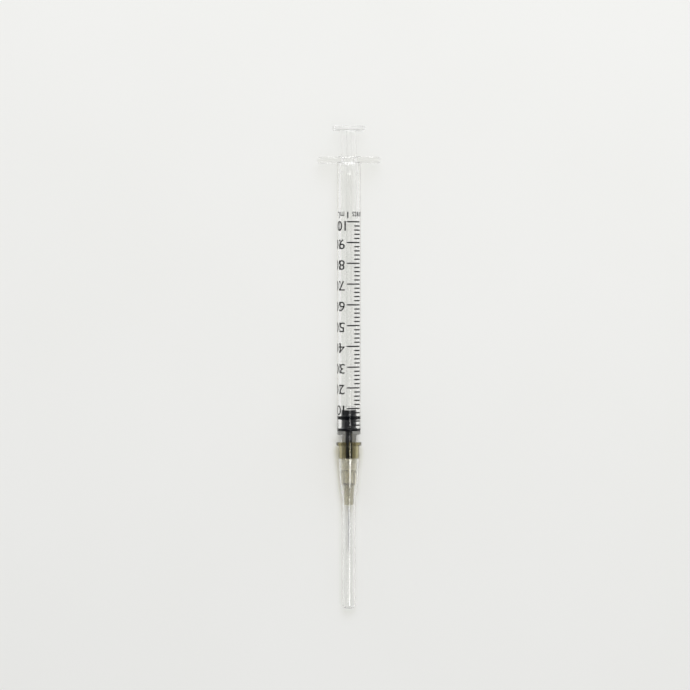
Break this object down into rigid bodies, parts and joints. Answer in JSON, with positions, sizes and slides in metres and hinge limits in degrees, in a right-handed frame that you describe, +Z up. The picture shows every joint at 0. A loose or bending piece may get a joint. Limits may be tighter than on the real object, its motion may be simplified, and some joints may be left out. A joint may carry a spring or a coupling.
{
  "type": "syringe with needle",
  "caption": "Small clear syringe lying on its finger flange, with a black stopper home in the barrel and a capped brown-hub needle pushed on its nozzle.",
  "frame": {"origin": "middle of the footprint, on the surface that the syringe lies on", "axes": "+Z up, +Y towards the thumb rest, -Y towards the needle, X along the wings of the finger flange; the scale is on top"},
  "size_m": [0.0176, 0.1344, 0.0096],
  "materials": {
    "clear_barrel": "clear glossy polypropylene",
    "scale_ink": "black pad-printed ink",
    "black_rubber": "smooth siliconed black rubber",
    "white_rod": "natural translucent polypropylene",
    "brown_hub": "translucent brown polypropylene",
    "needle_steel": "drawn stainless steel tube",
    "clear_glue": "clear cured adhesive",
    "natural_cap": "natural translucent polypropylene"
  },
  "bodies": {
    "barrel": {"barrel": "clear_barrel", "scale_marks": "scale_ink"},
    "stopper": {"stopper": "black_rubber"},
    "plunger_rod": {"plunger_rod": "white_rod"},
    "needle": {"needle_hub": "brown_hub", "cannula": "needle_steel", "glue_bead": "clear_glue"},
    "cap": {"needle_cap": "natural_cap"}
  },
  "joints": [
    {"name": "plunger_slide", "type": "slide", "parent": "barrel", "child": "stopper", "axis": [0, 0.9999, 0.0159], "range_m": [0, 0.067]},
    {"name": "rod_turn", "type": "hinge", "parent": "stopper", "child": "plunger_rod", "pos_m": [0, -0.01776, 0.00361], "axis": [0, 0.9999, 0.0159], "continuous": true},
    {"name": "needle_pull", "type": "slide", "parent": "barrel", "child": "needle", "axis": [0, -0.9999, -0.0159], "range_m": [0, 0.008]},
    {"name": "cap_pull", "type": "slide", "parent": "needle", "child": "cap", "axis": [0, -0.9999, -0.0159], "range_m": [0, 0.03]}
  ]
}
